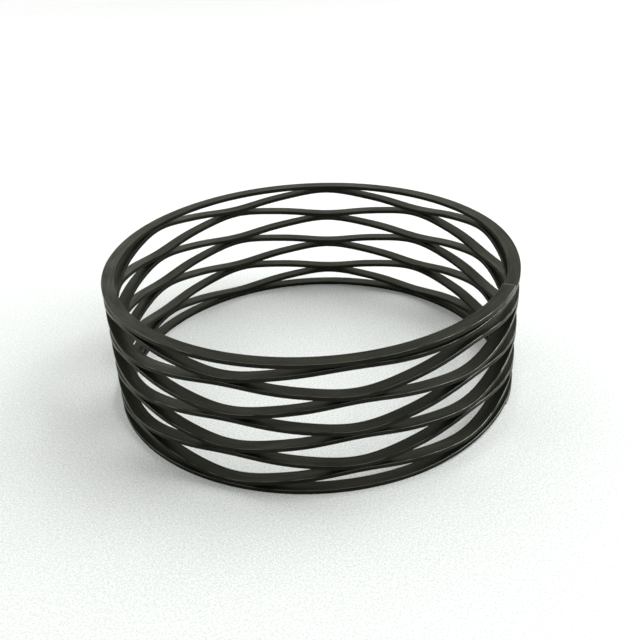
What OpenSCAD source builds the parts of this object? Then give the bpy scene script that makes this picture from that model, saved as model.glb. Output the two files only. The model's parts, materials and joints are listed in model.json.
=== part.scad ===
// Wave spring with flat ends: one flat wire wound on edge into a stack of level turns.
// The first and last turns lie flat. Each turn between them waves up and down, half a wave out of step
// with the turn above, so that its crests meet the troughs of that turn.

/* [Coil] */
// Outside diameter of the coil
outer_d = 100; // [60:1:160]

/* [Wire] */
// Width of the flat wire, measured along the radius
wire_w = 3; // [2:0.1:6]
// Thickness of the flat wire
wire_t = 1; // [0.5:0.05:1.4]
// Easing on the four long corners of the wire
corner_ease = 0.12; // [0.05:0.01:0.2]

/* [Waves] */
// Whole waves in each turn, to which half a wave is added
whole_waves = 5; // [3:1:6]
// Waved turns between the two flat turns
wave_turns = 7; // [2:1:8]
// Height of a wave from trough to crest
wave_h = 3.25; // [1:0.05:5]
// Straightness of a wave's flanks, 0 for a plain sine
flank = 0.07; // [0:0.01:0.11]
// Where the waves start round the coil
wave_start_deg = 61; // [0:1:359]
// Free play left where a crest meets a trough
contact_gap = 0.05; // [0.02:0.01:0.2]

/* [Ends] */
// Eighths of a turn over which the wire slips under its own free end
slip_eighths = 1; // [1:1:2]
// Angle over which each waved turn steps down to the next
step_deg = 180; // [90:5:270]

/* [Smoothness] */
// Wire sections along one wave
wave_sections = 16; // [8:1:18]

/* [Hidden] */
// Distances along the wire are counted in turns, from 0 where the first waved turn
// passes under the top free end. The wire runs clockwise, seen from above, as it goes down.
outer_r = outer_d / 2;
inner_r = outer_r - wire_w;
waves = whole_waves + 0.5;
layer = thou(wire_t + contact_gap);
pitch = wave_h + layer;
slip = slip_eighths / 8;
step = step_deg / 360;
grow = step / 2;
run_start = -slip;
run_turns = wave_turns + 2 * slip;
flat_deg = 360 * (1 - slip);
flat_drop = 2 * layer + pitch * (wave_turns - 1) + wave_h;
free_h = flat_drop + wire_t;
$fn = waves * wave_sections;

// Nearest thousandth of a millimetre, so that the ends of the waved wire meet the flat turns face to face
function thou(x) = round(x * 1000) / 1000;

// Section of the wire in radius and height, counter-clockwise, with its middle at height 0
half_t = thou(wire_t / 2);
wire_section = [
    for (p = [
        [inner_r + corner_ease, -half_t],
        [outer_r - corner_ease, -half_t],
        [outer_r, -half_t + corner_ease],
        [outer_r, half_t - corner_ease],
        [outer_r - corner_ease, half_t],
        [inner_r + corner_ease, half_t],
        [inner_r, half_t - corner_ease],
        [inner_r, -half_t + corner_ease]
    ])
    [thou(p[0]), thou(p[1])]
];

// Smooth rise from 0 to 1
function ease(x) = let (c = min(1, max(0, x))) c * c * (3 - 2 * c);

function total(list) = list * [for (item = list) 1];

// Wave between -1 and 1 at a distance along the wire
function wave(s) =
    let (a = 360 * waves * s + wave_start_deg)
    (cos(a) + flank * cos(3 * a)) / (1 + flank);

// Layers slipped under the top free end and down onto the bottom flat turn
function slips(s) = ease(1 + s / slip) + ease((s - wave_turns) / slip);

// Pitches stepped down so far, one for each turn
function steps(s) = total([for (k = [1:wave_turns - 1]) ease((s - k) / step + 0.5)]);

// Depth of the waves, which grow out of the top flat turn and settle onto the bottom one
function wave_depth(s) =
    wave_h / 2 * ((1 - wave(s)) * ease(s / grow) + (1 + wave(s)) * ease(1 + (s - wave_turns) / grow));

// Height of the middle of the wire
function level(s) = thou(free_h - half_t - layer * slips(s) - pitch * steps(s) - wave_depth(s));

// One flat turn, from angle 0 where it joins the waved wire round to its free end,
// counter-clockwise for way 1 and clockwise for way -1
module flat_turn(way) {
    rotate_extrude(angle = way * flat_deg) polygon(wire_section);
}

// The waved wire between the two flat turns
module wave_run() {
    rings = ceil(run_turns * waves * wave_sections);
    corners = len(wire_section);
    points = [
        for (i = [0:rings])
        let (along = run_turns * i / rings, a = -360 * along, z = level(run_start + along))
        for (p = wire_section)
        [p[0] * cos(a), p[0] * sin(a), p[1] + z]
    ];
    sides = [
        for (i = [0:rings - 1], k = [0:corners - 1])
        let (next = (k + 1) % corners)
        [i * corners + k, (i + 1) * corners + k, (i + 1) * corners + next, i * corners + next]
    ];
    start_face = [for (k = [0:corners - 1]) k];
    end_face = [for (k = [corners - 1:-1:0]) rings * corners + k];
    polyhedron(points, concat(sides, [start_face, end_face]), convexity = 2 * wave_turns);
}

module wave_spring() {
    color([0.24, 0.24, 0.21]) union() {
        translate([0, 0, level(run_start)]) flat_turn(1);
        wave_run();
        translate([0, 0, level(run_start + run_turns)]) rotate([0, 0, -360 * run_turns]) flat_turn(-1);
    }
}

wave_spring();
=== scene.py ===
# Wave spring of dark flat wire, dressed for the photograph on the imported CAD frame
import json
import math

import bpy
from mathutils import Matrix, Vector


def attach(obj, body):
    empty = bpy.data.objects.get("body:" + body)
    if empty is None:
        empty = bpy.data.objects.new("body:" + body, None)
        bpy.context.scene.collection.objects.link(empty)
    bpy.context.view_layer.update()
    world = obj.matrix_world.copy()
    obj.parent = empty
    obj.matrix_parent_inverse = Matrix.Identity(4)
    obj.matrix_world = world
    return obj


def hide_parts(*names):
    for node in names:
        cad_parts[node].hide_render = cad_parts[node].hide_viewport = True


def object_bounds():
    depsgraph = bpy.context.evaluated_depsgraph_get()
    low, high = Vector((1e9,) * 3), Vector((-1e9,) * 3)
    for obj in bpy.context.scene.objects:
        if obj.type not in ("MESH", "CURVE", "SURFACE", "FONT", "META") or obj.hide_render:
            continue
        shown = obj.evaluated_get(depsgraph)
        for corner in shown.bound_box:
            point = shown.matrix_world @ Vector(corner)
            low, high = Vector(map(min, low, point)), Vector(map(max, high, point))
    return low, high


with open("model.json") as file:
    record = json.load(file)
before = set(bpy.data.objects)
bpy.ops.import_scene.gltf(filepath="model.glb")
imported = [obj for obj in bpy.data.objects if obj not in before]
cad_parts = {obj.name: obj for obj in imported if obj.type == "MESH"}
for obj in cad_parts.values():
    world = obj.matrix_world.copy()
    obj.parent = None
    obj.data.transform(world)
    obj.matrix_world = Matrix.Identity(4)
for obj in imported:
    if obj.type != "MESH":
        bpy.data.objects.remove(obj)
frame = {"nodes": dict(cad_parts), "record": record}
cadLow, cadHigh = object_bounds()
mounts = {m["name"]: m for m in frame["record"]["mounts"]}
bpy.ops.object.select_all(action="DESELECT")
print("frame loaded", sorted(frame["nodes"]))


def ease(x):
    c = min(1, max(0, x))
    return c * c * (3 - 2 * c)


# The wire, in metres. Places along it are counted in turns, from 0 where the first waved turn
# passes under the top free end. It runs clockwise, seen from above, as it goes down.
coil = {
    "outerRadius": (cadHigh.x - cadLow.x) / 2,
    "innerRadius": mounts["shaft_bore"]["dims"]["r_mm"] / 1000,
    "freeHeight": cadHigh.z - cadLow.z,
    "thick": 0.001,
    "layer": 0.00105,
    "corner": 0.00009,
    "cornerSteps": 3,
    "endEase": 0.00005,
    "endSteps": 2,
    "waves": 5.5,
    "waveTurns": 7,
    "waveHeight": 0.00325,
    "flank": 0.07,
    "waveStart": math.radians(61),
    "slip": 0.125,
    "step": 0.5,
    "rings": 264,
}


def wireLevel(s):
    c = coil
    a = 2 * math.pi * c["waves"] * s + c["waveStart"]
    wave = (math.cos(a) + c["flank"] * math.cos(3 * a)) / (1 + c["flank"])
    grow = c["step"] / 2
    slips = ease(1 + s / c["slip"]) + ease((s - c["waveTurns"]) / c["slip"])
    steps = sum(ease((s - k) / c["step"] + 0.5) for k in range(1, c["waveTurns"]))
    depth = (1 - wave) * ease(s / grow) + (1 + wave) * ease(1 + (s - c["waveTurns"]) / grow)
    pitch = c["waveHeight"] + c["layer"]
    return c["freeHeight"] - c["thick"] / 2 - c["layer"] * slips - pitch * steps - c["waveHeight"] / 2 * depth


# Section of the wire at the top free end
wireWidth = coil["outerRadius"] - coil["innerRadius"]
midRadius = (coil["outerRadius"] + coil["innerRadius"]) / 2
bpy.ops.mesh.primitive_plane_add(
    size=1,
    calc_uvs=False,
    location=(midRadius, 0, 0),
    rotation=(math.pi / 2, 0, 0),
)
wire = bpy.context.object
wire.name = "wave_spring_wire"
wire.scale = (wireWidth, coil["thick"], 1)
bpy.ops.object.transform_apply(location=True, rotation=True, scale=True)
wire.rotation_euler.z = 2 * math.pi * (1 - coil["slip"])
bpy.ops.object.transform_apply(location=False, rotation=True, scale=False)
bpy.ops.object.mode_set(mode="EDIT")
bpy.ops.mesh.select_all(action="SELECT")
bpy.ops.mesh.bevel(offset=coil["corner"], segments=coil["cornerSteps"], affect="VERTICES")
bpy.ops.mesh.delete(type="ONLY_FACE")
bpy.ops.object.mode_set(mode="OBJECT")
corners = len(wire.data.vertices)

# Wound through all the turns
turns = coil["waveTurns"] + 2
bpy.ops.object.modifier_add(type="SCREW")
screw = wire.modifiers["Screw"]
screw.angle = -2 * math.pi * turns
screw.steps = screw.render_steps = turns * coil["rings"]
bpy.ops.object.modifier_apply(modifier="Screw")
print("wire wound", len(wire.data.vertices), "vertices")

# Each ring lifted to its height, with the place on the straight wire kept in millimetres
mm = 1000
turnLength = 2 * math.pi * midRadius * mm
place = wire.data.attributes.new("wirePlace", "FLOAT_VECTOR", "POINT")
for v in wire.data.vertices:
    s = v.index // corners / coil["rings"] - 1
    place.data[v.index].vector = (s * turnLength, (v.co.xy.length - midRadius) * mm, v.co.z * mm)
    v.co.z += wireLevel(s)
wire.data.update()
print("wire waved")

# Cut ends eased, flats kept flat
bpy.ops.object.mode_set(mode="EDIT")
bpy.ops.mesh.select_all(action="SELECT")
bpy.ops.mesh.fill_holes(sides=0)
bpy.ops.mesh.select_mode(type="FACE")
bpy.ops.mesh.select_all(action="DESELECT")
bpy.ops.mesh.select_face_by_sides(number=4, type="GREATER", extend=False)
bpy.ops.mesh.bevel(offset=coil["endEase"], segments=coil["endSteps"], affect="EDGES", clamp_overlap=True)
bpy.ops.mesh.select_all(action="SELECT")
bpy.ops.mesh.normals_make_consistent(inside=False)
bpy.ops.object.mode_set(mode="OBJECT")
bpy.ops.object.shade_smooth()
bpy.ops.object.modifier_add(type="WEIGHTED_NORMAL")
wire.modifiers["WeightedNormal"].keep_sharp = True
bpy.ops.object.modifier_apply(modifier="WeightedNormal")


def link(tree, source, target):
    tree.links.new(source, target)


def math2(tree, kind, a, b=None):
    n = tree.nodes.new("ShaderNodeMath")
    n.operation = kind
    for socket, value in zip(n.inputs, (a, b)):
        if value is None:
            continue
        if isinstance(value, (int, float)):
            socket.default_value = value
        else:
            link(tree, value, socket)
    return n.outputs[0]


def noise(tree, vector, detail, scale=1, stretch=(1, 1, 1)):
    move = tree.nodes.new("ShaderNodeMapping")
    move.inputs["Scale"].default_value = stretch
    link(tree, vector, move.inputs["Vector"])
    n = tree.nodes.new("ShaderNodeTexNoise")
    n.inputs["Scale"].default_value = scale
    n.inputs["Detail"].default_value = detail
    link(tree, move.outputs[0], n.inputs["Vector"])
    return n.outputs["Fac"]


def spread(tree, value, low, high, toLow=0.0, toHigh=1.0, smooth=False):
    n = tree.nodes.new("ShaderNodeMapRange")
    n.interpolation_type = "SMOOTHSTEP" if smooth else "LINEAR"
    for name, x in (("From Min", low), ("From Max", high), ("To Min", toLow), ("To Max", toHigh)):
        n.inputs[name].default_value = x
    link(tree, value, n.inputs["Value"])
    return n.outputs[0]


# The node's colour sockets are 6 and 7 going in and 2 coming out
def mixColour(tree, fac, a, b):
    n = tree.nodes.new("ShaderNodeMix")
    n.data_type = "RGBA"
    link(tree, fac, n.inputs[0])
    for socket, value in ((n.inputs[6], a), (n.inputs[7], b)):
        if isinstance(value, tuple):
            socket.default_value = (*value, 1)
        else:
            link(tree, value, socket)
    return n.outputs[2]


# Blackened spring steel: olive black and streaked along the wire. It is rubbed bright on the cut ends and
# the long corners, most on the upper and outer ones. Towards the right, where the light comes from, the
# bright corners are strengthened further as a painted highlight. Places on the wire are millimetres,
# the painted highlight runs in metres across the coil.
steel = {
    "dark": (0.0058, 0.0067, 0.0046),
    "brown": (0.0183, 0.0184, 0.0125),
    "bare": (0.55, 0.55, 0.53),
    "sheen": (0.68, 0.70, 0.615),
    "metallic": 0.5,
    "specular": 0.12,
    "roughness": (0.50, 0.22),
    "rubbedGloss": 0.06,
    "streaks": {"detail": 5, "stretch": (0.14, 2.5, 2.5)},
    "patches": {"detail": 4, "stretch": (0.11, 0.5, 0.5)},
    "rubs": {"detail": 5, "stretch": (0.2, 0.6, 0.6)},
    "toneRange": (0.35, 0.65),
    "streakShare": 0.5,
    "patchShare": 0.5,
    "cornerBand": (0.03, 0.09, 1, 0),
    "cutBand": (0.04, 0.16, 1, 0),
    "rimBand": (0.05, 0.15, 1, 0),
    "rubbed": (0.38, 0.54, 0.05, 1),
    "rubbedUp": (-0.2, 0.3, 0.2, 1),
    "rubbedOut": (-0.3, 0.3, 0.25, 1),
    # painted highlight: the bright corners grow stronger towards the right of the coil, the lit side
    "paintedHighlightRight": (-0.01, 0.045, 0.22, 0.45),
    "cutRubbed": 0.8,
    "bump": 0.3,
    "bumpDepth": 0.00004,
}
mat = bpy.data.materials.new("blackened spring steel")
mat.use_nodes = True
tree = mat.node_tree
bsdf = tree.nodes["Principled BSDF"]
onWire = tree.nodes.new("ShaderNodeAttribute")
onWire.attribute_name = "wirePlace"
parts = tree.nodes.new("ShaderNodeSeparateXYZ")
link(tree, onWire.outputs["Vector"], parts.inputs[0])
across = tree.nodes.new("ShaderNodeSeparateXYZ")
link(tree, tree.nodes.new("ShaderNodeTexCoord").outputs["Object"], across.inputs[0])
fromTop = math2(tree, "ADD", parts.outputs["X"], turnLength)
fromBottom = math2(tree, "SUBTRACT", turnLength * (turns - 1), parts.outputs["X"])
fromEnd = math2(tree, "MINIMUM", fromTop, fromBottom)
fromSide = math2(tree, "SUBTRACT", wireWidth / 2 * mm, math2(tree, "ABSOLUTE", parts.outputs["Y"]))
fromFlat = math2(tree, "SUBTRACT", coil["thick"] / 2 * mm, math2(tree, "ABSOLUTE", parts.outputs["Z"]))
corner = spread(tree, math2(tree, "MAXIMUM", fromSide, fromFlat), *steel["cornerBand"], smooth=True)
cut = spread(tree, fromEnd, *steel["cutBand"], smooth=True)
rim = spread(tree, math2(tree, "MINIMUM", fromSide, fromFlat), *steel["rimBand"], smooth=True)
streak = noise(tree, onWire.outputs["Vector"], **steel["streaks"])
patch = noise(tree, onWire.outputs["Vector"], **steel["patches"])
rubs = noise(tree, onWire.outputs["Vector"], **steel["rubs"])
wearAndPaintedHighlight = corner
for value, band in ((rubs, "rubbed"), (parts.outputs["Z"], "rubbedUp"), (parts.outputs["Y"], "rubbedOut")):
    wearAndPaintedHighlight = math2(tree, "MULTIPLY", wearAndPaintedHighlight, spread(tree, value, *steel[band]))
# painted highlight: the bright corner colour is raised towards the right of the coil, where the light falls
wearAndPaintedHighlight = math2(tree, "MULTIPLY", wearAndPaintedHighlight, spread(tree, across.outputs["X"], *steel["paintedHighlightRight"], smooth=True))
cutEdge = math2(tree, "MULTIPLY", cut, rim)
wearAndPaintedHighlight = math2(tree, "MAXIMUM", wearAndPaintedHighlight, math2(tree, "MULTIPLY", cutEdge, steel["cutRubbed"]))
patchTone = math2(tree, "MULTIPLY", spread(tree, patch, *steel["toneRange"]), steel["patchShare"])
streakTone = math2(tree, "MULTIPLY", spread(tree, streak, *steel["toneRange"]), steel["streakShare"])
tone = math2(tree, "ADD", patchTone, streakTone)
colour = mixColour(tree, tone, steel["dark"], steel["brown"])
colour = mixColour(tree, wearAndPaintedHighlight, colour, steel["bare"])
link(tree, colour, bsdf.inputs["Base Color"])
bsdf.inputs["Specular Tint"].default_value = (*steel["sheen"], 1)
bsdf.inputs["Metallic"].default_value = steel["metallic"]
bsdf.inputs["Specular IOR Level"].default_value = steel["specular"]
dull = spread(tree, tone, 0, 1, *steel["roughness"])
rough = math2(tree, "SUBTRACT", dull, math2(tree, "MULTIPLY", wearAndPaintedHighlight, steel["rubbedGloss"]))
link(tree, rough, bsdf.inputs["Roughness"])
bump = tree.nodes.new("ShaderNodeBump")
bump.inputs["Strength"].default_value = steel["bump"]
bump.inputs["Distance"].default_value = steel["bumpDepth"]
link(tree, streak, bump.inputs["Height"])
link(tree, bump.outputs[0], bsdf.inputs["Normal"])
wire.data.materials.append(mat)
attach(wire, "root")
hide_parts("wave_spring")
print("wire finished")

# Camera, as found from the photograph. The angles are degrees, the aim is off the middle of the coil.
shot = {
    "turn": -19.14,
    "elevation": 28.805,
    "distance": 0.21059,
    "aim": (-0.4185, -0.5563),
    "roll": -3.038,
    "lens": 46.889,
    "sensor": 36,
    "nearest": 0.01,
}
middle = Vector((0, 0, coil["freeHeight"] / 2))
fromFront = Matrix.Rotation(math.radians(shot["turn"]), 4, "Z")
tilt = math.radians(shot["elevation"])
bpy.ops.object.camera_add()
camera = bpy.context.object
camera.data.sensor_width = shot["sensor"]
camera.data.lens = shot["lens"]
camera.data.clip_start = shot["nearest"]
camera.matrix_world = (
    Matrix.Translation(middle + fromFront @ Vector((0, -math.cos(tilt), math.sin(tilt))) * shot["distance"])
    @ fromFront
    @ Matrix.Rotation(math.pi / 2 - tilt, 4, "X")
    @ Matrix.Rotation(math.radians(shot["aim"][0]), 4, "Y")
    @ Matrix.Rotation(math.radians(shot["aim"][1]), 4, "X")
    @ Matrix.Rotation(math.radians(shot["roll"]), 4, "Z")
)
bpy.context.scene.camera = camera
print("camera set")

# Pale floor with a fine grain and white specks painted in as its glints, fading into the white background far
# off
table = {
    "size": 12,
    "grain": {"scale": 2100, "detail": 3},
    "glint": {"scale": 2900, "detail": 2},
    "grainRange": (0.3, 0.7),
    "glintRange": (0.56, 0.62),
    "low": (0.690, 0.725, 0.700),
    "high": (0.890, 0.925, 0.900),
    "spark": (1.0, 1.0, 1.0),
    "roughness": 0.7,
    "specular": 0.2,
    "fade": (0.4, 0.85),
}
bpy.ops.mesh.primitive_plane_add(size=table["size"], location=(0, 0, 0))
floor = bpy.context.object
floor.name = "floor"
floorMat = bpy.data.materials.new("pale grained table")
floorMat.use_nodes = True
ground = floorMat.node_tree
floorBsdf = ground.nodes["Principled BSDF"]
onFloor = ground.nodes.new("ShaderNodeTexCoord").outputs["Object"]
grain = noise(ground, onFloor, **table["grain"])
glint = noise(ground, onFloor, **table["glint"])
shade = mixColour(ground, spread(ground, grain, *table["grainRange"]), table["low"], table["high"])
# painted glints: white specks in the floor colour stand in for the floor's sparkle
shade = mixColour(ground, spread(ground, glint, *table["glintRange"]), shade, table["spark"])
link(ground, shade, floorBsdf.inputs["Base Color"])
floorBsdf.inputs["Roughness"].default_value = table["roughness"]
floorBsdf.inputs["Specular IOR Level"].default_value = table["specular"]
away = ground.nodes.new("ShaderNodeVectorMath")
away.operation = "LENGTH"
link(ground, onFloor, away.inputs[0])
fade = ground.nodes.new("ShaderNodeMixShader")
link(ground, spread(ground, away.outputs["Value"], *table["fade"], smooth=True), fade.inputs[0])
link(ground, floorBsdf.outputs[0], fade.inputs[1])
link(ground, ground.nodes.new("ShaderNodeBsdfTransparent").outputs[0], fade.inputs[2])
link(ground, fade.outputs[0], ground.nodes["Material Output"].inputs["Surface"])
floor.data.materials.append(floorMat)

# Soft light: large lamps on both sides, smaller ones low on the right and behind
white = (1, 1, 1)
warm = (1, 0.985, 0.94)
lamps = {
    "right": {"place": (0.62, 0.14, 0.55), "size": (0.80, 0.80), "watts": 6.0, "colour": white},
    "low right": {"place": (0.80, -0.05, 0.22), "size": (0.50, 0.30), "watts": 4.2, "colour": white},
    "left": {"place": (-0.65, 0.10, 0.45), "size": (0.80, 0.80), "watts": 2.8, "colour": white},
    "back left": {"place": (-0.45, 0.60, 0.50), "size": (0.60, 0.60), "watts": 1.5, "colour": warm},
    "back": {"place": (0.32, 0.72, 0.60), "size": (0.90, 0.38), "watts": 0.85, "colour": warm},
}
for name, lamp in lamps.items():
    lampPlace = fromFront @ Vector(lamp["place"])
    bpy.ops.object.light_add(type="AREA", location=lampPlace)
    soft = bpy.context.object
    soft.name = name + " lamp"
    soft.data.shape = "RECTANGLE"
    soft.data.size, soft.data.size_y = lamp["size"]
    soft.data.energy = lamp["watts"]
    soft.data.color = lamp["colour"]
    soft.rotation_euler = (lampPlace - middle).to_track_quat("Z", "Y").to_euler()

# White room that lights the coil most from the right and the back.
# It looks plain white where it is seen or mirrored.
walls = {
    "bright": (0.8, 0.6, 0),
    "glow": (-0.6, 0.8, 0.21, 0.62),
    "seen": 1,
}
world = bpy.data.worlds.new("room")
bpy.context.scene.world = world
world.use_nodes = True
room = world.node_tree
back = room.nodes["Background"]
back.inputs["Color"].default_value = (*white, 1)
towards = room.nodes.new("ShaderNodeVectorMath")
towards.operation = "DOT_PRODUCT"
towards.inputs[1].default_value = fromFront @ Vector(walls["bright"])
link(room, room.nodes.new("ShaderNodeTexCoord").outputs["Generated"], towards.inputs[0])
glow = spread(room, towards.outputs["Value"], *walls["glow"], smooth=True)
link(room, glow, back.inputs["Strength"])
seen = room.nodes.new("ShaderNodeBackground")
seen.inputs["Color"].default_value = (*white, 1)
seen.inputs["Strength"].default_value = walls["seen"]
path = room.nodes.new("ShaderNodeLightPath")
both = room.nodes.new("ShaderNodeMixShader")
mirrored = math2(room, "MAXIMUM", path.outputs["Is Glossy Ray"], path.outputs["Is Transmission Ray"])
link(room, math2(room, "MAXIMUM", path.outputs["Is Camera Ray"], mirrored), both.inputs[0])
link(room, back.outputs[0], both.inputs[1])
link(room, seen.outputs[0], both.inputs[2])
link(room, both.outputs[0], room.nodes["World Output"].inputs["Surface"])

bpy.context.scene.view_settings.view_transform = "Standard"
print("floor and light set")
